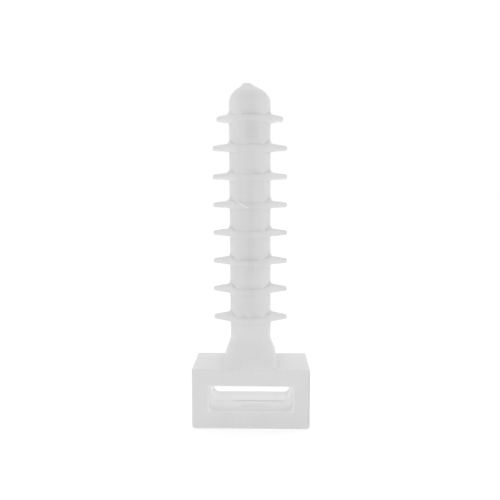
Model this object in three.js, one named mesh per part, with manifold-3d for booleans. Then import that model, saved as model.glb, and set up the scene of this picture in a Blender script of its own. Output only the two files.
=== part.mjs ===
// Push-in wall plug for cable ties.
//
// The real plug is a single nylon moulding: a slotted head block that stays outside the wall, a short
// neck, and a round stem with barbed side fins and a domed nose that goes into an 8 mm hole.
// It is drawn here as the named regions of that moulding. They meet face to face, without a gap, and
// nothing on the plug moves. Millimetres, +Z from the head to the nose, origin under the head's middle.
import * as THREE from "three";
import { mergeVertices } from "three/addons/utils/BufferGeometryUtils.js";
import Module from "manifold-3d";

const wasm = await Module();
wasm.setup();

// Head block: X is its width, Y its depth, Z its height.
const headWidth = 15.5;
const headDepth = 8.0;
const headHeight = 8.0;
const headCornerRadius = 0.4;

// Slot for the tie, which runs through the head from front to back.
const slotWidth = 11.0;
const slotHeight = 3.4;
const slotFloor = 2.3;
const slotCornerRadius = 0.9;

// Stem, and the neck that joins it to the head: its foot is nearly a rectangle, as deep as the head.
const stemRadius = 2.7;
const neckFootHalfWidth = 3.5;
const neckTop = 11.65;
const neckFootSquareness = 8;
const neckRings = 8;

// Domed nose with the stub that is left where the moulding was broken off its sprue.
const noseBase = 42.65;
const noseHeight = 2.2;
const stubFootRadius = 1.2;
const stubTopRadius = 0.6;
const stubTop = 45.1;

// Barbed fins, numbered from the nose to the head. Each is a low collar drawn out to a tip on each side.
const finCount = 8;
const finPitch = 3.78;
const lastFinHeight = 14.15;
const finReach = 4.95;
const leadFinReach = 4.4;
const collarRadius = 2.8;
const finTipRadius = 0.22;
const rimHalfThickness = 0.34;
const rimRound = 0.2;
const rootUnder = 0.42;
const rootOver = 0.58;
const rootFillet = 0.5;

// Smoothness of the round shapes.
const roundSegments = 36;
const arcSteps = 4;

const nylon = { color: 0xe9e8e4, roughness: 0.42, metalness: 0 };
const plug = new THREE.Group();

function addRegion(name, geometry, height = 0) {
  const mesh = new THREE.Mesh(geometry, new THREE.MeshStandardMaterial(nylon));
  mesh.name = name;
  mesh.position.z = height;
  plug.add(mesh);
}

// A solid of revolution about +Z from [radius, height] points.
function turned(points) {
  const profile = points.map(([radius, height]) => new THREE.Vector2(radius, height));
  return new THREE.LatheGeometry(profile, roundSegments).rotateX(Math.PI / 2);
}

// A bar of the head: an outline in X and Z, as deep as the head.
function headBar(outline) {
  const bar = new THREE.ExtrudeGeometry(outline, {
    depth: headDepth,
    bevelEnabled: false,
    curveSegments: arcSteps,
  });
  return bar.rotateX(Math.PI / 2).translate(0, headDepth / 2, 0);
}

// Points of an elliptical quarter, from its wide foot up to the given radius.
function domePoints(footRadius, base, height, endRadius) {
  const endAngle = Math.acos(endRadius / footRadius);
  const steps = 2 * arcSteps;
  const points = [];
  for (let step = 0; step <= steps; step += 1) {
    const angle = (endAngle * step) / steps;
    points.push([footRadius * Math.cos(angle), base + height * Math.sin(angle)]);
  }
  return points;
}

// Points of a quadratic curve between two [radius, height] points.
function bend(start, control, end) {
  const curve = new THREE.QuadraticBezierCurve(
    new THREE.Vector2(...start),
    new THREE.Vector2(...control),
    new THREE.Vector2(...end),
  );
  return curve.getPoints(arcSteps).map((point) => [point.x, point.y]);
}

function toSolid(geometry) {
  const bare = geometry.clone();
  bare.deleteAttribute("normal");
  bare.deleteAttribute("uv");
  const merged = mergeVertices(bare, 1e-5);
  const mesh = new wasm.Mesh({
    numProp: 3,
    vertProperties: new Float32Array(merged.attributes.position.array),
    triVerts: new Uint32Array(merged.index.array),
  });
  return new wasm.Manifold(mesh);
}

function toGeometry(solid) {
  const mesh = solid.getMesh();
  const geometry = new THREE.BufferGeometry();
  geometry.setAttribute("position", new THREE.BufferAttribute(mesh.vertProperties, mesh.numProp));
  geometry.setIndex(new THREE.BufferAttribute(mesh.triVerts, 1));
  return geometry;
}

// The lower bar takes the load of the tie; its two outer edges are rounded.
function tieBarOutline() {
  const side = headWidth / 2;
  const outline = new THREE.Shape();
  outline.moveTo(side, slotFloor);
  outline.lineTo(-side, slotFloor);
  outline.lineTo(-side, headCornerRadius);
  outline.absarc(-side + headCornerRadius, headCornerRadius, headCornerRadius, Math.PI, 1.5 * Math.PI);
  outline.absarc(side - headCornerRadius, headCornerRadius, headCornerRadius, 1.5 * Math.PI, 2 * Math.PI);
  outline.closePath();
  return outline;
}

// A shoulder bears on the wall beside the neck; its outer edge is rounded in the same way.
function shoulderOutline() {
  const side = headWidth / 2;
  const top = headHeight;
  const outline = new THREE.Shape();
  outline.moveTo(neckFootHalfWidth, slotFloor + slotHeight);
  outline.lineTo(side, slotFloor + slotHeight);
  outline.lineTo(side, top - headCornerRadius);
  outline.absarc(side - headCornerRadius, top - headCornerRadius, headCornerRadius, 0, Math.PI / 2);
  outline.lineTo(neckFootHalfWidth, top);
  outline.closePath();
  return outline;
}

// The neck's root is the block between the two shoulders, over the middle of the slot.
function neckRootGeometry() {
  const rootHeight = headHeight - slotFloor - slotHeight;
  const root = new THREE.BoxGeometry(2 * neckFootHalfWidth, headDepth, rootHeight);
  return root.translate(0, 0, headHeight - rootHeight / 2);
}

// A cheek closes the slot on one side, and its inner face ends in the slot's two rounded corners.
function cheekOutline() {
  const outer = headWidth / 2;
  const inner = slotWidth / 2;
  const top = slotFloor + slotHeight;
  const centre = inner - slotCornerRadius;
  const outline = new THREE.Shape();
  outline.moveTo(centre, slotFloor);
  outline.lineTo(outer, slotFloor);
  outline.lineTo(outer, top);
  outline.lineTo(centre, top);
  outline.absarc(centre, top - slotCornerRadius, slotCornerRadius, Math.PI / 2, 0, true);
  outline.absarc(centre, slotFloor + slotCornerRadius, slotCornerRadius, 0, -Math.PI / 2, true);
  outline.closePath();
  return outline;
}

// One side of a superellipse: the cosine or sine of an angle, pushed outwards as it gets squarer.
function squared(value, squareness) {
  return Math.sign(value) * Math.abs(value) ** (2 / squareness);
}

// The neck is turned as a plain cylinder, and its rings are then widened and squared towards the foot.
function neckGeometry() {
  const profile = [[0, headHeight]];
  for (let ring = 0; ring <= neckRings; ring += 1) {
    profile.push([stemRadius, headHeight + ((neckTop - headHeight) * ring) / neckRings]);
  }
  profile.push([0, neckTop]);
  const neck = turned(profile);
  const places = neck.attributes.position;
  for (let index = 0; index < places.count; index += 1) {
    const share = (places.getZ(index) - headHeight) / (neckTop - headHeight);
    const widening = 1 - THREE.MathUtils.smoothstep(share ** 1.5, 0, 1);
    const deepening = 1 - THREE.MathUtils.smoothstep(share, 0, 1);
    const squareness = 2 + (neckFootSquareness - 2) * Math.max(0, 1 - share) ** 3;
    const halfWidth = stemRadius + (neckFootHalfWidth - stemRadius) * widening;
    const halfDepth = stemRadius + (headDepth / 2 - stemRadius) * deepening;
    const radius = Math.hypot(places.getX(index), places.getY(index));
    if (radius > 0 && share < 1) {
      places.setX(index, halfWidth * squared(places.getX(index) / radius, squareness));
      places.setY(index, halfDepth * squared(places.getY(index) / radius, squareness));
    }
  }
  return neck;
}

function noseProfile() {
  const dome = domePoints(stemRadius, noseBase, noseHeight, stubFootRadius);
  return [[0, noseBase], ...dome, [stubTopRadius, stubTop], [0, stubTop]];
}

// One barb seen in section: a nearly flat underside, a rounded rim and a root that runs up the stem.
function finSection(reach) {
  const rim = rimHalfThickness;
  const edge = reach - rimRound;
  const filletFoot = stemRadius + rootFillet;
  const fillet = bend(
    [filletFoot, rootOver - 0.1 * rootFillet],
    [stemRadius + 0.2 * rootFillet, rootOver],
    [stemRadius, rootOver + rootFillet],
  );
  return [
    [stemRadius, -rootUnder],
    [edge, -rim],
    [reach, -rim + rimRound],
    [reach, rim - rimRound],
    [edge, rim],
    ...fillet,
    [stemRadius, -rootUnder],
  ];
}

// One fin seen along the stem: the collar's arcs, tangent flanks and a small round tip on each side.
function finPlan(reach) {
  const tipCentre = reach - finTipRadius;
  const lean = Math.acos((collarRadius - finTipRadius) / tipCentre);
  const plan = new THREE.Shape();
  plan.absarc(tipCentre, 0, finTipRadius, -lean, lean);
  plan.absarc(0, 0, collarRadius, lean, Math.PI - lean);
  plan.absarc(-tipCentre, 0, finTipRadius, Math.PI - lean, Math.PI + lean);
  plan.absarc(0, 0, collarRadius, Math.PI + lean, 2 * Math.PI - lean);
  plan.closePath();
  return plan;
}

function finGeometry(reach) {
  const ring = toSolid(turned(finSection(reach)));
  const prism = new THREE.ExtrudeGeometry(finPlan(reach), {
    depth: 4 * rootOver,
    bevelEnabled: false,
    curveSegments: 2 * arcSteps,
  }).translate(0, 0, -2 * rootOver);
  return toGeometry(ring.intersect(toSolid(prism)));
}

// Head: a bar, two cheeks, two shoulders and the neck's root around the slot.
addRegion("tie_bar", headBar(tieBarOutline()));
addRegion("cheek_right", headBar(cheekOutline()));
addRegion("cheek_left", headBar(cheekOutline()).rotateZ(Math.PI));
addRegion("shoulder_right", headBar(shoulderOutline()));
addRegion("shoulder_left", headBar(shoulderOutline()).rotateZ(Math.PI));
addRegion("neck_root", neckRootGeometry());

// Shank: neck, stem and nose in one line.
addRegion("neck", neckGeometry());
addRegion("stem", turned([[0, neckTop], [stemRadius, neckTop], [stemRadius, noseBase], [0, noseBase]]));
addRegion("nose", turned(noseProfile()));

// Fins: the first one, next to the nose, is a little shorter and leads the plug into its hole.
for (let index = 0; index < finCount; index += 1) {
  const reach = index === 0 ? leadFinReach : finReach;
  const height = lastFinHeight + finPitch * (finCount - 1 - index);
  addRegion(`fin_${index + 1}`, finGeometry(reach), height);
}

export default plug;
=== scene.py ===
# %% [markdown]
# A push-in wall plug for cable ties is one moulding of natural nylon. It is about 45 mm tall and has no
# moving parts, so the whole lesson is about form and about one milky plastic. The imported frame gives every
# region of the plug its place and size. Loading it first means that nothing here has to be fitted later.

import math

import bmesh
import bpy
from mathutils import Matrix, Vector


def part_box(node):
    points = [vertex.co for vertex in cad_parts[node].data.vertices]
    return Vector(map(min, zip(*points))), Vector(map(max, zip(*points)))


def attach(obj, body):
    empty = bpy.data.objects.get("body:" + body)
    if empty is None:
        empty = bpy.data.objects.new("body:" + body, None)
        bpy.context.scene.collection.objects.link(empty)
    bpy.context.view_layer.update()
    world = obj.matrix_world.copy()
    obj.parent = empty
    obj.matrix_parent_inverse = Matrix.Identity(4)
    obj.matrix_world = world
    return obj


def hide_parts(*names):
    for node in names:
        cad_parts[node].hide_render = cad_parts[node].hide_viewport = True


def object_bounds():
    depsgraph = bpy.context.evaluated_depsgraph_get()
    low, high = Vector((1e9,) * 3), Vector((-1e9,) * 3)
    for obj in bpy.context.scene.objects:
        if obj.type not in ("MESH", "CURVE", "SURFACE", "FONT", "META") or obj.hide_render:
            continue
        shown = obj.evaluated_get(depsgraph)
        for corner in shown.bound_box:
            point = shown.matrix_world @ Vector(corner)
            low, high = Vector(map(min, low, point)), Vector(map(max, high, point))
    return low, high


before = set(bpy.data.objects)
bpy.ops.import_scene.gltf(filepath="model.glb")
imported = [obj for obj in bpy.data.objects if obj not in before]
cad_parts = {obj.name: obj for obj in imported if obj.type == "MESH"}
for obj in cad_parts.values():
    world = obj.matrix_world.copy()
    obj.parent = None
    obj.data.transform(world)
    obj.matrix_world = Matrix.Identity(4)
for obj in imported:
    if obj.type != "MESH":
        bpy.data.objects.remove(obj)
MM = 0.001
PER_MM = 1.0 / MM


def plain(bounds):
    return [[float(value) for value in corner] for corner in bounds]


def box_in_mm(node):
    return [corner * PER_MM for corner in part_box(node)]


cad_box = plain(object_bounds())
print("box of the frame in mm:", [[round(value / MM, 2) for value in corner] for corner in cad_box])

# %% [markdown]
# The camera comes before the pieces, so that each piece can be judged as soon as it is made. A small part
# seen from close up shows clear perspective: the head is seen a little from above and the nose a little
# from below. A mild lens from a little above the plug's middle gives that. A long lens would flatten it.

# %% Camera
FILM_WIDTH = 36.0
LENS = 41.06
LOOK_DOWN = 0.099
LOOK_LEFT = 0.02
EYE = Vector((1.345, -76.294, 30.823)) * MM


def add_camera():
    data = bpy.data.cameras.new("studio_camera")
    data.sensor_width = FILM_WIDTH
    data.lens = LENS
    data.clip_start = 5 * MM
    data.clip_end = 10.0
    camera = bpy.data.objects.new("studio_camera", data)
    camera.location = EYE
    camera.rotation_euler = (math.pi / 2 - LOOK_DOWN, 0.0, LOOK_LEFT)
    bpy.context.scene.collection.objects.link(camera)
    bpy.context.scene.camera = camera
    return camera


camera = add_camera()
print("camera distance in mm:", round(camera.location.length / MM, 1))

# %% [markdown]
# Shader maths reads best as arithmetic. This class wraps one output socket of a node tree. Adding or
# multiplying two of them adds a Math node, and one method makes every other kind of node. A reader can then
# follow a material as a few expressions in place of a page of links.

# %% Shader arithmetic
class Signal:
    def __init__(self, tree, socket):
        self.tree = tree
        self.socket = socket

    @classmethod
    def node(cls, tree, kind, settings=None, inputs=None, output=0):
        made = tree.nodes.new(kind)
        for name, value in (settings or {}).items():
            setattr(made, name, value)
        for name, value in (inputs or {}).items():
            if isinstance(value, Signal):
                tree.links.new(value.socket, made.inputs[name])
            else:
                made.inputs[name].default_value = value
        return cls(tree, made.outputs[output])

    def math(self, operation, first, second=0.0):
        return Signal.node(self.tree, "ShaderNodeMath", {"operation": operation}, {0: first, 1: second})

    def root(self):
        return self.math("SQRT", self)

    def __add__(self, other):
        return self.math("ADD", self, other)

    def __radd__(self, other):
        return self.math("ADD", other, self)

    def __sub__(self, other):
        return self.math("SUBTRACT", self, other)

    def __rsub__(self, other):
        return self.math("SUBTRACT", other, self)

    def __mul__(self, other):
        return self.math("MULTIPLY", self, other)

    def __rmul__(self, other):
        return self.math("MULTIPLY", other, self)

    def smooth_between(self, low, high):
        settings = {"interpolation_type": "SMOOTHSTEP"}
        inputs = {"Value": self, "From Min": low, "From Max": high}
        return Signal.node(self.tree, "ShaderNodeMapRange", settings, inputs)


def mix_colours(factor, first, second):
    settings = {"data_type": "RGBA", "clamp_factor": True}
    return Signal.node(factor.tree, "ShaderNodeMix", settings, {0: factor, 6: first, 7: second}, output=2)


def noise(tree, place, per_mm, detail=2.0, roughness=0.5):
    inputs = {"Vector": place, "Scale": per_mm * PER_MM, "Detail": detail, "Roughness": roughness}
    return Signal.node(tree, "ShaderNodeTexNoise", {}, inputs)


print("shader arithmetic is ready")

# %% [markdown]
# A moulding is never as true as its drawing. This stem stands a hair off the head's centre and leans by a
# quarter of a degree, and its fins stray up and down by a tenth of a millimetre. Such small errors are what
# makes a part look moulded. They live in two functions, which the shapes and the surface marks both use.

# %% Lean of the stem and stray of the fins
LEAN = math.radians(0.24)
OFF_CENTRE = -0.08
FIN_STRAY = 0.12
LOWEST_STRAY_SHARE = 0.87
HALF_WAVE_SHARE = 0.55
ROOT_UNDER = 0.42

fin_nodes = [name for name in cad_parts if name.startswith("fin_")]
fin_names = sorted(fin_nodes, key=lambda name: int(name[4:]))
head_top = box_in_mm("shoulder_right")[1].z
stem_low, stem_high = box_in_mm("stem")


def lean_at(height):
    return OFF_CENTRE - math.tan(LEAN) * max(0.0, height - head_top)


def fin_height(node):
    """The height of a fin's middle, which strays along the stem in one slow wave."""
    height = box_in_mm(node)[0].z + ROOT_UNDER
    share = (height - stem_low.z) / (stem_high.z - stem_low.z)
    return height - FIN_STRAY * math.cos(math.pi * (LOWEST_STRAY_SHARE - share) / HALF_WAVE_SHARE)


print("lean at the nose in mm:", round(lean_at(cad_box[1][2] / MM), 3))
print("fin heights in mm:", [round(fin_height(name), 2) for name in fin_names])

# %% [markdown]
# A mask says where on the plug something is: 1 there, 0 elsewhere, and a soft edge in between. It could be
# painted on an unwrapped map, but these shapes are simple. Worked out from a point's own place on the plug,
# in millimetres, a mask needs no map and stays sharp however near the camera comes.

# %% Masks in the plug's own space
FADE = 0.12
FRONT_FADE = 0.3
SLOT_SIDE = 1.0
SLOT_MARGIN = 0.05


def part_of_way(value, low, high, fade=FADE):
    """1 where the value lies between low and high, with a soft edge on both sides."""
    return value.smooth_between(low - fade, low) * (1 - value.smooth_between(high, high + fade))


def on_front(y, depth):
    """1 on surfaces that lie in front of the given depth."""
    return (0 - y).smooth_between(depth - FRONT_FADE, depth)


def inside_slot(x, y, z, mouth, fade):
    """1 on the slot's walls, and 0 outside. Both mouths fade from that far in, over the given length."""
    low, high = box_in_mm("cheek_right")
    half_width = low.x + SLOT_SIDE
    across = part_of_way(x, -half_width, half_width)
    upright = part_of_way(z, low.z - SLOT_MARGIN, high.z + SLOT_MARGIN)
    along = part_of_way(y, low.y + mouth + fade, high.y - mouth - fade, fade)
    return across * upright * along


print("masks are ready")

# %% [markdown]
# Some shade is painted into the colour. The stem gets painted shade, darkest down its front, with a darker
# patch of painted shade between the first two fins, and short lines of painted shade where the collars meet
# the stem.
# Each is a mask times a share of darkness, so that the shades add up before the colour is made.

# %% Painted shade on the stem
STEM_SHADE = 0.05
STEM_SHADE_FROM = -1.15
STEM_SHADE_TO = 4.35
STEM_SKIN = (0.08, 0.4)
STEM_FRONT = 0.5
BAND_SHADE = 0.02
BAND_SPAN = (-0.3, 0.3)
BAND_FADE = 0.3
PATCH_SHADE = 0.05
PATCH_SPAN = (-0.5, 0.7)
PATCH_SIDE_FADE = 0.5
PATCH_END_FADE = 0.7
ABOVE_SECOND_FIN = 1.3
BELOW_FIRST_FIN = 0.9


def stem_painted_shade(x, y, z, clouds):
    """Painted shade: the stem is darker than the head, most of all down its front, and never on the fins."""
    radius = (x * x + y * y).root()
    on_skin = 1 - radius.smooth_between(stem_high.x + STEM_SKIN[0], stem_high.x + STEM_SKIN[1])
    stem = on_skin * z.smooth_between(stem_low.z + STEM_SHADE_FROM, stem_low.z + STEM_SHADE_TO)
    front = on_front(y, stem_high.x - STEM_FRONT)
    band = front * part_of_way(x, *BAND_SPAN, BAND_FADE) * (0.5 + clouds)
    low = fin_height("fin_2") + ABOVE_SECOND_FIN
    high = fin_height("fin_1") - BELOW_FIRST_FIN
    patch = front * part_of_way(x, *PATCH_SPAN, PATCH_SIDE_FADE) * part_of_way(z, low, high, PATCH_END_FADE)
    return stem * (STEM_SHADE + band * BAND_SHADE + patch * PATCH_SHADE)


print("the stem is shaded from", round(stem_low.z + STEM_SHADE_FROM, 2), "mm upwards")

# %% Painted shade lines over the fins
SHORT_LINE_SHADE = 0.11
SHORT_LINE_SPAN = (-1.0, 1.0)
SHORT_LINE_FADE = 0.6
SHORT_LINE_DEPTH = 2.4
OVER_FIN = 0.40
LINE_HEIGHT = 0.06
LINE_EDGE = 0.05
SOFT_SHADE_HEIGHT = 0.25
SOFT_SHADE_EDGE = 0.45
SOFT_SHADE_SHARE = 0.35


def painted_shade_lines(x, y, z, breaks):
    """Painted shade on the front: a short line at the head's foot, and a line with softer shade over each
    fin.
    """
    across = part_of_way(x, *SHORT_LINE_SPAN, SHORT_LINE_FADE) * on_front(y, SHORT_LINE_DEPTH) * breaks
    lines = part_of_way(z, 0.0, 0.0)
    for name in fin_names:
        foot = fin_height(name) + OVER_FIN
        lines = lines + part_of_way(z, foot, foot + LINE_HEIGHT, LINE_EDGE)
        lines = lines + part_of_way(z, foot, foot + SOFT_SHADE_HEIGHT, SOFT_SHADE_EDGE) * SOFT_SHADE_SHARE
    return lines * across * SHORT_LINE_SHADE


print("short lines:", len(fin_names) + 1)

# %% [markdown]
# Other marks are single ones. Fine lines of painted shade cross the slot's floor, the longest where the two
# mould cores met. Painted shade runs up the right edge of the head's front. The mould halves leave a slanting
# hair of flash on the fourth fin, with a painted shadow beside it, and the gate leaves a small pale witness
# at the head's foot.

# %% Painted shade in the slot's creases
CREASE_SHADE = 0.16
CREASE_EDGE = 0.08
CORE_CREASE = (-0.15, -0.05)
CORE_CREASE_SPAN = (-1.6, 3.6)
CORE_CREASE_FADE = 1.6
SHORT_CREASES = (((-1.5, -1.4), 0.6), ((-2.15, -2.05), 0.8))
SHORT_CREASE_SPAN = (-0.6, 1.8)
SHORT_CREASE_FADE = 1.2


def slot_crease_shade(x, y):
    """Painted shade along lines across the slot's floor: the long one where the cores met, and two short
    ones.
    """
    lines = part_of_way(y, *CORE_CREASE, CREASE_EDGE) * part_of_way(x, *CORE_CREASE_SPAN, CORE_CREASE_FADE)
    across = part_of_way(x, *SHORT_CREASE_SPAN, SHORT_CREASE_FADE)
    for place, share in SHORT_CREASES:
        lines = lines + across * part_of_way(y, *place, CREASE_EDGE) * share
    return lines


print("creases in the slot:", len(SHORT_CREASES) + 1)

# %% Painted shade on the head's edge
FINE_EDGE = 0.06
HEAD_FRONT = 0.2
EDGE_LINE_SHADE = 0.14
EDGE_LINE_INSET = (-0.19, -0.13)
EDGE_LINE_FROM = 0.8
EDGE_LINE_BELOW_TOP = 0.5
EDGE_LINE_FADE = 0.2


def edge_painted_shade(x, y, z):
    """Painted shade: a thin dark line up the right edge of the head's front, where its rounding faces away
    from the light.
    """
    corner = box_in_mm("shoulder_right")[1]
    across = part_of_way(x, corner.x + EDGE_LINE_INSET[0], corner.x + EDGE_LINE_INSET[1], FINE_EDGE)
    upright = part_of_way(z, EDGE_LINE_FROM, corner.z - EDGE_LINE_BELOW_TOP, EDGE_LINE_FADE)
    return across * on_front(y, corner.y - HEAD_FRONT) * upright * EDGE_LINE_SHADE


print("the line starts", EDGE_LINE_FROM, "mm above the head's foot")

# %% Hair of flash
FLASH_SHARE = 0.55
FLASH_SHADOW = 0.10
FLASH_SHADOW_OFFSET = 0.2
FLASH_SLOPE = 0.56
FLASH_BELOW_FIN = 0.55
FLASH_SPAN = (-1.75, -0.45)
FLASH_END_FADE = 0.15
FLASH_HALF_WIDTH = 0.05
FLASH_DEPTH = 2.2


def flash_hair(x, y, z, offset):
    """A thin slanting line on the front of the fourth fin, moved upwards by the offset."""
    slant = z + x * FLASH_SLOPE - (fin_height("fin_4") - FLASH_BELOW_FIN + offset)
    along = part_of_way(x, *FLASH_SPAN, FLASH_END_FADE)
    across = part_of_way(slant, -FLASH_HALF_WIDTH, FLASH_HALF_WIDTH, FINE_EDGE)
    return across * along * on_front(y, FLASH_DEPTH)


print("the hair is", round(math.hypot(1.0, FLASH_SLOPE) * (FLASH_SPAN[1] - FLASH_SPAN[0]), 2), "mm long")

# %% Witness of the gate
GATE_SHARE = 0.3
GATE_SPAN = (-0.35, 0.35)
GATE_HEIGHT = (0.28, 0.38)


def gate_mark(x, y, z):
    """The small pale witness at the foot of the head's front."""
    front = on_front(y, box_in_mm("tie_bar")[1].y - HEAD_FRONT)
    return part_of_way(x, *GATE_SPAN) * front * part_of_way(z, *GATE_HEIGHT, FINE_EDGE)


print("the witness is", GATE_SPAN[1] - GATE_SPAN[0], "mm wide")

# %% [markdown]
# Natural nylon is milky and a little translucent. Its surface is satin from the eroded mould, with soft
# clouds where the melt cooled unevenly and faint flow streaks along the stem. Real scattering is worth
# having on thin fins, but its radius must stay well under the thickness of a fin, or the edges glow.
# The slot's walls are painted paler and a weak emission in the slot's middle glows: both are painted light
# that stands in for the light that seeps through the nylon around it, because that path is too long to trace.

# %% Natural nylon
NYLON_PALE = (0.765, 0.765, 0.763, 1.0)
NYLON_CLOUD = (0.735, 0.735, 0.735, 1.0)
NYLON_PAINTED_LIGHT_IN_SLOT = (0.86, 0.86, 0.86, 1.0)
NYLON_FLASH = (0.95, 0.95, 0.95, 1.0)
DARK = (0.0, 0.0, 0.0, 1.0)
SEEPING_LIGHT = (0.10, 0.10, 0.10, 1.0)
SLOT_MOUTH = -0.1
SLOT_FADE = 0.2
GLOW_MOUTH = 0.5
GLOW_FADE = 2.2
STREAK_STRETCH = (1.0, 1.0, 0.12)
CLOUDS_PER_MM = 0.22
STREAKS_PER_MM = 1.6
SPECKS_PER_MM = 2.4
BREAKS_PER_MM = 0.45
GRAIN_PER_MM = 7.0
RIPPLES_PER_MM = 0.9
ROUGHNESS = 0.36
BUMP_STRENGTH = 0.22
BUMP_DEPTH = 0.04 * MM
SCATTER_SHARE = 0.25
SCATTER_DEPTH = 0.35 * MM
SCATTER_BY_COLOUR = (1.0, 0.96, 0.9)
NYLON_IOR = 1.53


def natural_nylon():
    material = bpy.data.materials.new("natural_nylon")
    material.use_nodes = True
    tree = material.node_tree
    shader = tree.nodes["Principled BSDF"]
    place = Signal.node(tree, "ShaderNodeTexCoord", output=3)
    along = Signal.node(tree, "ShaderNodeMapping", {}, {"Vector": place, "Scale": STREAK_STRETCH})
    x, y, z = (
        Signal.node(tree, "ShaderNodeSeparateXYZ", {}, {"Vector": place}, output=axis) * PER_MM
        for axis in range(3)
    )

    clouds = noise(tree, place, CLOUDS_PER_MM, detail=3.0).smooth_between(0.38, 0.66)
    streaks = noise(tree, along, STREAKS_PER_MM).smooth_between(0.45, 0.75)
    specks = noise(tree, place, SPECKS_PER_MM).smooth_between(0.60, 0.72)
    milk = clouds * 0.55 + streaks * 0.3 + specks * 0.2
    breaks = noise(tree, place, BREAKS_PER_MM).smooth_between(0.35, 0.6)

    walls = inside_slot(x, y, z, SLOT_MOUTH, SLOT_FADE)
    # Painted shade along the creases of the slot's floor.
    creases = slot_crease_shade(x, y) * walls
    # Painted shadow of the flash hair: the same line a little higher, darkened.
    hair_painted_shadow = flash_hair(x, y, z, FLASH_SHADOW_OFFSET) * FLASH_SHADOW
    # All painted shade: stem, slot creases, head's edge, flash hair's shadow and the lines over the fins.
    shade = stem_painted_shade(x, y, z, clouds) + creases * CREASE_SHADE + edge_painted_shade(x, y, z)
    shade = shade + hair_painted_shadow + painted_shade_lines(x, y, z, breaks)
    pale_marks = flash_hair(x, y, z, 0.0) * FLASH_SHARE + gate_mark(x, y, z) * GATE_SHARE
    # Painted light: the slot's walls are paler, for the light that seeps through the nylon around them.
    colour = mix_colours(walls, mix_colours(milk, NYLON_PALE, NYLON_CLOUD), NYLON_PAINTED_LIGHT_IN_SLOT)
    colour = mix_colours(pale_marks, mix_colours(shade, colour, DARK), NYLON_FLASH)
    seeping = inside_slot(x, y, z, GLOW_MOUTH, GLOW_FADE) * (1 - creases)

    grain = noise(tree, place, GRAIN_PER_MM, detail=4.0, roughness=0.6)
    ripple = noise(tree, along, RIPPLES_PER_MM, detail=1.0)
    relief = grain * 0.35 + ripple * 0.65
    bump_inputs = {"Height": relief, "Strength": BUMP_STRENGTH, "Distance": BUMP_DEPTH}
    bump = Signal.node(tree, "ShaderNodeBump", {}, bump_inputs)

    tree.links.new(colour.socket, shader.inputs["Base Color"])
    tree.links.new((ROUGHNESS + grain * 0.14 + streaks * 0.05).socket, shader.inputs["Roughness"])
    tree.links.new(bump.socket, shader.inputs["Normal"])
    tree.links.new(mix_colours(seeping, DARK, SEEPING_LIGHT).socket, shader.inputs["Emission Color"])
    shader.inputs["Emission Strength"].default_value = 1.0
    shader.inputs["IOR"].default_value = NYLON_IOR
    shader.inputs["Subsurface Weight"].default_value = SCATTER_SHARE
    shader.inputs["Subsurface Radius"].default_value = SCATTER_BY_COLOUR
    shader.inputs["Subsurface Scale"].default_value = SCATTER_DEPTH
    return material


nylon = natural_nylon()
print("nylon nodes:", len(nylon.node_tree.nodes))

# %% [markdown]
# Every piece of the plug is a net of rings. A ring is a closed row of points, and the skin joins each ring
# to the next with four-sided faces. This keeps the mesh even and easy to read, which a boolean would not.
# The skin may close into a tube around a hole, or end in a small cap at either end.

# %% Rings into a skin
def skin_of_rings(name, rings, closed=False):
    mesh = bmesh.new()
    rows = [[mesh.verts.new(Vector(point) * MM) for point in ring] for ring in rings]
    pairs = list(zip(rows, rows[1:]))
    if closed:
        pairs.append((rows[-1], rows[0]))
    for lower, upper in pairs:
        for index in range(len(lower)):
            after = (index + 1) % len(lower)
            mesh.faces.new((lower[index], lower[after], upper[after], upper[index]))
    if not closed:
        mesh.faces.new(rows[0])
        mesh.faces.new(rows[-1])
    bmesh.ops.recalc_face_normals(mesh, faces=mesh.faces)
    for face in mesh.faces:
        face.smooth = True
    data = bpy.data.meshes.new(name)
    mesh.to_mesh(data)
    mesh.free()
    data.materials.append(nylon)
    piece = bpy.data.objects.new(name, data)
    bpy.context.scene.collection.objects.link(piece)
    return piece


def finish_piece(piece, *nodes):
    weights = piece.modifiers.new("flat_faces_stay_flat", "WEIGHTED_NORMAL")
    weights.keep_sharp = True
    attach(piece, "root")
    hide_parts(*nodes)
    print(piece.name, "faces:", len(piece.data.polygons))


print("rings are ready")

# %% [markdown]
# The foot of the neck is nearly a rectangle, as deep as the head, and it turns into the round stem within a
# few millimetres. A boolean of a block and a cylinder would leave a hard edge there. A superellipse changes
# smoothly with one number: 2 gives a circle, and a higher power gives squarer corners. The foot runs a
# little way down behind the head's front face, so that no edge shows where the two are flush.

# %% Rings of the neck
AROUND = 128
FOOT_FLARE = 0.24
FOOT_FLARE_HEIGHT = 0.45
FOOT_FLARE_POWER = 2.4
FOOT_SQUARENESS = 8.0
FOOT_SUNK = 0.35
WIDENING_POWER = 1.5
SQUARENESS_POWER = 3
FLUSH_GAP = 0.004
FLARE_STEPS = 8
NECK_STEPS = 30

neck_high = box_in_mm("neck")[1]
head_low, head_high = box_in_mm("tie_bar")
stem_radius = stem_high.x


def smoothstep(value):
    value = min(1.0, max(0.0, value))
    return value * value * (3 - 2 * value)


def squared(value, squareness):
    """One side of a superellipse: a sine or cosine, pushed outwards as it gets squarer."""
    return math.copysign(abs(value) ** (2 / squareness), value)


def ring_angles():
    return [2 * math.pi * index / AROUND for index in range(AROUND)]


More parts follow.
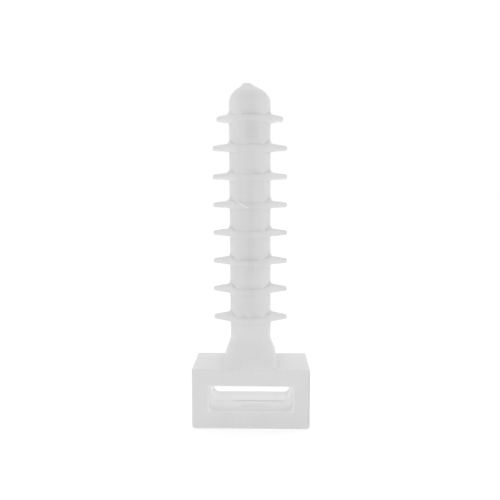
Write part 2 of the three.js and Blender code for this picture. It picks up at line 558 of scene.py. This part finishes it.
def neck_ring(height):
    share = (height - head_top) / (neck_high.z - head_top)
    widening = 1 - smoothstep(max(share, 0.0) ** WIDENING_POWER)
    deepening = 1 - smoothstep(share)
    squareness = 2 + (FOOT_SQUARENESS - 2) * min(1.0, 1 - share) ** SQUARENESS_POWER
    flare_share = min(1.0, max(0.0, 1 - (height - head_top) / FOOT_FLARE_HEIGHT))
    flare = FOOT_FLARE * flare_share ** FOOT_FLARE_POWER
    half_width = stem_radius + (neck_high.x - stem_radius) * widening + flare
    half_depth = stem_radius + (head_high.y - FLUSH_GAP - stem_radius) * deepening
    ring = []
    for angle in ring_angles():
        x = half_width * squared(math.cos(angle), squareness) + lean_at(height)
        ring.append((x, half_depth * squared(math.sin(angle), squareness), height))
    return ring


def neck_heights():
    flare_top = head_top + FOOT_FLARE_HEIGHT
    flare = [head_top + FOOT_FLARE_HEIGHT * step / FLARE_STEPS for step in range(FLARE_STEPS)]
    cone = [flare_top + (neck_high.z - flare_top) * step / NECK_STEPS for step in range(NECK_STEPS)]
    return [head_top - FOOT_SUNK] + flare + cone


neck_rings = [neck_ring(height) for height in neck_heights()]
print("rings of the neck:", len(neck_rings))

# %% [markdown]
# Neck, stem and nose are one skin, so no seam can show between them. The stem has only the faint line where
# the mould halves met, on its left and right. The nose is a dome, a little pointed, with the stub of the
# sprue leaning to one side, because the moulding was twisted off it.

# %% Shank
SEAM_HEIGHT = 0.03
STEM_STEPS = 60
DOME_HEIGHT = 2.2
DOME_POINT = 1.15
DOME_STEPS = 14
STUB_FOOT = 1.05
STUB_TOP = 0.55
STUB_BEVEL = 0.12
STUB_BEVEL_DROP = 0.04
STUB_TAPER_SHARE = 0.72
STUB_CAP = 0.1
STUB_SHIFT = -0.35
STUB_SHIFT_START = 0.3

nose_low, nose_high = box_in_mm("nose")


def stem_profile():
    rise = (stem_high.z - stem_low.z) / STEM_STEPS
    return [(stem_radius, stem_low.z + rise * step) for step in range(STEM_STEPS + 1)]


def nose_profile():
    last_angle = math.acos((STUB_FOOT / stem_radius) ** (1 / DOME_POINT))
    points = []
    for step in range(1, DOME_STEPS + 1):
        angle = last_angle * step / DOME_STEPS
        radius = stem_radius * math.cos(angle) ** DOME_POINT
        points.append((radius, nose_low.z + DOME_HEIGHT * math.sin(angle)))
    shoulder, top = points[-1][1], nose_high.z
    points.append((STUB_TOP + STUB_BEVEL, shoulder + STUB_TAPER_SHARE * (top - shoulder)))
    points.append((STUB_TOP, top - STUB_BEVEL_DROP))
    points.append((STUB_TOP - STUB_BEVEL, top))
    points.append((STUB_CAP, top))
    return points


def turned_ring(radius, height):
    start = nose_low.z + STUB_SHIFT_START
    stub_share = min(1.0, max(0.0, (height - start) / (nose_high.z - start)))
    shift = lean_at(height) + STUB_SHIFT * stub_share ** 2
    on_stem = neck_high.z < height < nose_low.z
    ring = []
    for index, angle in enumerate(ring_angles()):
        seam = SEAM_HEIGHT if on_stem and index in (0, AROUND // 2) else 0.0
        ring.append(((radius + seam) * math.cos(angle) + shift, (radius + seam) * math.sin(angle), height))
    return ring


turned_rings = [turned_ring(*point) for point in stem_profile() + nose_profile()]
shank = skin_of_rings("shank", neck_rings + turned_rings)
finish_piece(shank, "neck", "stem", "nose")

# %% [markdown]
# A fin is a low collar around the stem, drawn out to a thin tip on each side, like an eye. The mould opens
# to the front and back, so a fin can be deep only where its sides still leave the mould. Its outline is an
# arc of the collar, a straight flank that touches it, and a small arc at the tip, mirrored to all sides.

# %% Outline of a fin
COLLAR = 2.75
TIP_RADIUS = 0.24
TIP_STEPS = 6
FLANK_STEPS = 12
COLLAR_STEPS = 8


def eye_outline(reach):
    centre = reach - TIP_RADIUS
    lean = math.acos((COLLAR - TIP_RADIUS) / centre)
    quarter = []
    for step in range(TIP_STEPS + 1):
        angle = lean * step / TIP_STEPS
        quarter.append((centre + TIP_RADIUS * math.cos(angle), TIP_RADIUS * math.sin(angle)))
    flank_start = quarter[-1]
    flank_end = (COLLAR * math.cos(lean), COLLAR * math.sin(lean))
    for step in range(1, FLANK_STEPS + 1):
        share = step / FLANK_STEPS
        quarter.append(tuple(a + (b - a) * share for a, b in zip(flank_start, flank_end)))
    for step in range(1, COLLAR_STEPS + 1):
        angle = lean + (math.pi / 2 - lean) * step / COLLAR_STEPS
        quarter.append((COLLAR * math.cos(angle), COLLAR * math.sin(angle)))
    half = quarter + [(-x, y) for x, y in reversed(quarter[:-1])]
    return half + [(x, -y) for x, y in reversed(half[1:-1])]


print("points round a fin:", len(eye_outline(box_in_mm("fin_2")[1].x)))

# %% [markdown]
# The section of a fin is thin and round at its rim, thicker at its root, and sweeps up the stem in a fillet.
# At the front and rear only a low swelling of the collar is left. Each ring of the skin is one point of the
# section, carried round the outline, and the whole fin is set a little way into the stem, so no gap shows.

# %% Fins
RIM_HALF = 0.31
RIM_DEPTH = 0.34
RIM_SHARE = 0.4
RIM_SQUARENESS = 2.5
ROOT_OVER = 0.56
FILLET_REACH = 0.5
FILLET_RISE = 0.5
FILLET_POWER = 2.8
UNDER_FILLET = 0.12
BORE = 2.45
FRONT_WIDTH = 0.6
FRONT_TOP = 0.42
FRONT_DROP = 0.15
FRONT_TUCK = 0.1
FRONT_SKEW = 0.35
UNDER_STEPS = 8
RIM_STEPS = 10
TOP_STEPS = 10


def front_share(edge):
    """1 on the low collar at the front and rear, and 0 out on the fin."""
    return 1.0 - smoothstep((edge - COLLAR) / FRONT_WIDTH)


def root_share(distance, reach):
    return min(1.0, (reach - distance) / (reach - stem_radius))


def fillet_share(distance):
    return max(0.0, 1.0 - (distance - stem_radius) / FILLET_REACH) ** FILLET_POWER


def fin_top(distance, edge, reach):
    height = RIM_HALF + (ROOT_OVER - RIM_HALF) * root_share(distance, reach)
    height += FILLET_RISE * fillet_share(distance)
    front = front_share(edge)
    return height * (1.0 - front) + FRONT_TOP * front


def fin_under(distance, edge, reach):
    depth = RIM_HALF + (ROOT_UNDER - RIM_HALF) * root_share(distance, reach)
    depth += UNDER_FILLET * fillet_share(distance)
    return -depth - FRONT_DROP * front_share(edge)


def fin_section(edge, reach):
    """The (distance, height) points of a fin's section, where its outline is edge from the axis."""
    front = front_share(edge)
    stand_out = edge - stem_radius
    rim = min(RIM_DEPTH, RIM_SHARE * stand_out)
    inner = edge - rim * (1.0 - front) - (stand_out + FRONT_TUCK) * front
    low, high = fin_under(inner, edge, reach), fin_top(inner, edge, reach)
    points = []
    for step in range(UNDER_STEPS):
        distance = BORE + (inner - BORE) * step / UNDER_STEPS
        points.append((distance, fin_under(distance, edge, reach)))
    for step in range(RIM_STEPS + 1):
        angle = -math.pi / 2 + math.pi * step / RIM_STEPS
        out = squared(math.cos(angle), RIM_SQUARENESS)
        up = squared(math.sin(angle), RIM_SQUARENESS)
        rise = ((1.0 + up) / 2.0) ** (1.0 - FRONT_SKEW * front)
        points.append((inner + (edge - inner) * out, low + (high - low) * rise))
    for step in range(1, TOP_STEPS + 1):
        distance = inner + (BORE - inner) * step / TOP_STEPS
        points.append((distance, fin_top(distance, edge, reach)))
    return points


def add_fin(node):
    reach = box_in_mm(node)[1].x
    height = fin_height(node)
    shift = lean_at(height)
    columns = []
    for x, y in eye_outline(reach):
        edge = math.hypot(x, y)
        section = fin_section(edge, reach)
        columns.append([(x / edge * d + shift, y / edge * d, height + z) for d, z in section])
    fin = skin_of_rings(node + "_moulded", list(zip(*columns)), closed=True)
    finish_piece(fin, node)


for fin_name in fin_names:
    add_fin(fin_name)

# %% [markdown]
# The head is a block with a slot that runs right through, so its skin closes on itself like a ring: along
# the slot, over the front face, back along the outside and in again at the rear. The slot narrows from both
# mouths to the middle, where the two mould cores met and left a fine raised line.

# %% Loops of the head
LOWER_CORNER = 0.4
UPPER_CORNER = 0.2
SLOT_CORNER = 0.9
CORNER_STEPS = 8
SIDE_STEPS = 10

cheek_low, cheek_high = box_in_mm("cheek_right")
shoulder_high = box_in_mm("shoulder_right")[1]
slot_half_width = cheek_low.x + SLOT_CORNER


def rounded_loop(half_width, low, high, lower_radius, upper_radius, y):
    """Points around a rectangle with round corners, from the right end of its lower side."""
    corners = [
        (half_width - lower_radius, low + lower_radius, -math.pi / 2, lower_radius),
        (half_width - upper_radius, high - upper_radius, 0.0, upper_radius),
        (upper_radius - half_width, high - upper_radius, math.pi / 2, upper_radius),
        (lower_radius - half_width, low + lower_radius, math.pi, lower_radius),
    ]
    arcs = []
    for x, z, start, radius in corners:
        angles = [start + math.pi / 2 * step / CORNER_STEPS for step in range(CORNER_STEPS + 1)]
        arcs.append([(x + radius * math.cos(angle), z + radius * math.sin(angle)) for angle in angles])
    loop = []
    for arc, following in zip(arcs, arcs[1:] + arcs[:1]):
        loop += arc
        for step in range(1, SIDE_STEPS):
            share = step / SIDE_STEPS
            loop.append(tuple(a + (b - a) * share for a, b in zip(arc[-1], following[0])))
    return [(x, y, z) for x, z in loop]


def outside(inset, y):
    half_width = head_high.x - inset
    low, high = head_low.z + inset, shoulder_high.z - inset
    return rounded_loop(half_width, low, high, LOWER_CORNER - inset / 2, UPPER_CORNER - inset / 2, y)


def slot_wall(widening, y):
    low, high = cheek_low.z - widening, cheek_high.z + widening
    radius = SLOT_CORNER + widening
    return rounded_loop(slot_half_width + widening, low, high, radius, radius, y)


print("points round the head:", len(outside(0.0, 0.0)))

# %% [markdown]
# The front half of the head is listed as loops, from the slot's middle out through its mouth and back along
# the outside. The rear half is the same loops mirrored, in the reverse order. The edges of the mouth and of
# the front face are rounded by a few loops along a quarter circle, because a sharp edge catches no light.

# %% Head
EDGE_ROUND = 0.16
MOUTH_ROUND = 0.07
SLOT_DRAFT = 0.05
CORE_LINE = 0.035
CORE_LINE_WIDTH = 0.07
CORE_LINE_MIDDLE = 0.01
REAR_GAP = 0.02
TURN_STEPS = 4
LENGTH_STEPS = 6


def head_rings():
    front = head_low.y
    turns = [math.pi / 2 * step / TURN_STEPS for step in range(TURN_STEPS + 1)]
    half = [slot_wall(-SLOT_DRAFT - CORE_LINE, -CORE_LINE_MIDDLE), slot_wall(-SLOT_DRAFT, -CORE_LINE_WIDTH)]
    for step in range(1, LENGTH_STEPS + 1):
        share = step / LENGTH_STEPS
        y = -CORE_LINE_WIDTH + (front + MOUTH_ROUND + CORE_LINE_WIDTH) * share
        half.append(slot_wall(-SLOT_DRAFT * (1 - share), y))
    for turn in turns[1:]:
        y = front + MOUTH_ROUND * (1 - math.sin(turn))
        half.append(slot_wall(MOUTH_ROUND * (1 - math.cos(turn)), y))
    for turn in turns:
        y = front + EDGE_ROUND * (1 - math.cos(turn))
        half.append(outside(EDGE_ROUND * (1 - math.sin(turn)), y))
    for step in range(1, LENGTH_STEPS + 1):
        y = front + EDGE_ROUND + (-front - EDGE_ROUND - REAR_GAP) * step / LENGTH_STEPS
        half.append(outside(0.0, y))
    return half + [[(x, -y, z) for x, y, z in ring] for ring in reversed(half)]


tie_head = skin_of_rings("tie_head", head_rings(), closed=True)
finish_piece(tie_head, "tie_bar", "cheek_right", "cheek_left", "shoulder_right", "shoulder_left", "neck_root")

# %% [markdown]
# A small white part is best lit by a bright tent: light from everywhere, so that its form shows only as soft
# greys. The world gives the tent, a little darker behind the camera, where a real one has its opening. Three
# weak soft lights add direction. The floor is a pale sheet with a glow of its own, as bright as the tent, so
# that it has no horizon.

# %% Floor
FLOOR_SPAN = 4.0
FLOOR_CELLS = 8
FLOOR_BASE = (0.75, 0.75, 0.75, 1.0)
WHITE = (1.0, 1.0, 1.0, 1.0)
FLOOR_GLOW = 0.37
FLOOR_ROUGHNESS = 0.9
FLOOR_SPECULAR = 0.1


def add_floor():
    mesh = bmesh.new()
    bmesh.ops.create_grid(mesh, x_segments=FLOOR_CELLS, y_segments=FLOOR_CELLS, size=FLOOR_SPAN / 2)
    data = bpy.data.meshes.new("floor")
    mesh.to_mesh(data)
    mesh.free()
    material = bpy.data.materials.new("pale_floor")
    material.use_nodes = True
    shader = material.node_tree.nodes["Principled BSDF"]
    shader.inputs["Base Color"].default_value = FLOOR_BASE
    shader.inputs["Emission Color"].default_value = WHITE
    shader.inputs["Emission Strength"].default_value = FLOOR_GLOW
    shader.inputs["Roughness"].default_value = FLOOR_ROUGHNESS
    shader.inputs["Specular IOR Level"].default_value = FLOOR_SPECULAR
    data.materials.append(material)
    floor = bpy.data.objects.new("floor", data)
    bpy.context.scene.collection.objects.link(floor)
    floor.location.z = cad_box[0][2]


add_floor()
print("the floor lies at", cad_box[0][2])

# %% [markdown]
# The opening of the tent is meant for the light on the plug only. The camera ray flag of the Light Path node
# keeps the backdrop evenly white from every side, while all other rays still find the tent darker there.

# %% Light
TENT_STRENGTH = 1.0
TENT_OPENING = 0.42
OPENING_EDGE = 0.1
LIGHT_TARGET = Vector((0, 0, 20)) * MM
SOFT_LIGHTS = {
    "top_light": ((-0.05, 0.02, 0.45), 0.35, 0.11),
    "left_light": ((-0.40, 0.0, 0.15), 0.30, 0.004),
    "right_light": ((0.40, 0.0, 0.15), 0.30, 0.020),
}


def add_softbox(name, position, size, watts):
    data = bpy.data.lights.new(name, "AREA")
    data.shape = "DISK"
    data.size = size
    data.energy = watts
    light = bpy.data.objects.new(name, data)
    light.location = position
    aim = LIGHT_TARGET - Vector(position)
    light.rotation_euler = aim.to_track_quat("-Z", "Y").to_euler()
    bpy.context.scene.collection.objects.link(light)


def add_tent():
    world = bpy.data.worlds.new("tent")
    world.use_nodes = True
    tree = world.node_tree
    background = tree.nodes["Background"]
    way = Signal.node(tree, "ShaderNodeTexCoord", output=0)
    ahead = Signal.node(tree, "ShaderNodeSeparateXYZ", {}, {"Vector": way}, output=1)
    seen = Signal.node(tree, "ShaderNodeLightPath", output=0)
    opening = (0 - ahead).smooth_between(OPENING_EDGE, 1.0) * (1 - seen)
    strength = TENT_STRENGTH - TENT_OPENING * opening
    background.inputs["Color"].default_value = WHITE
    tree.links.new(strength.socket, background.inputs["Strength"])
    bpy.context.scene.world = world


add_tent()
for light_name, (light_place, light_size, light_watts) in SOFT_LIGHTS.items():
    add_softbox(light_name, light_place, light_size, light_watts)
bpy.context.scene.view_settings.view_transform = "Standard"
print("lights:", len(bpy.data.lights))
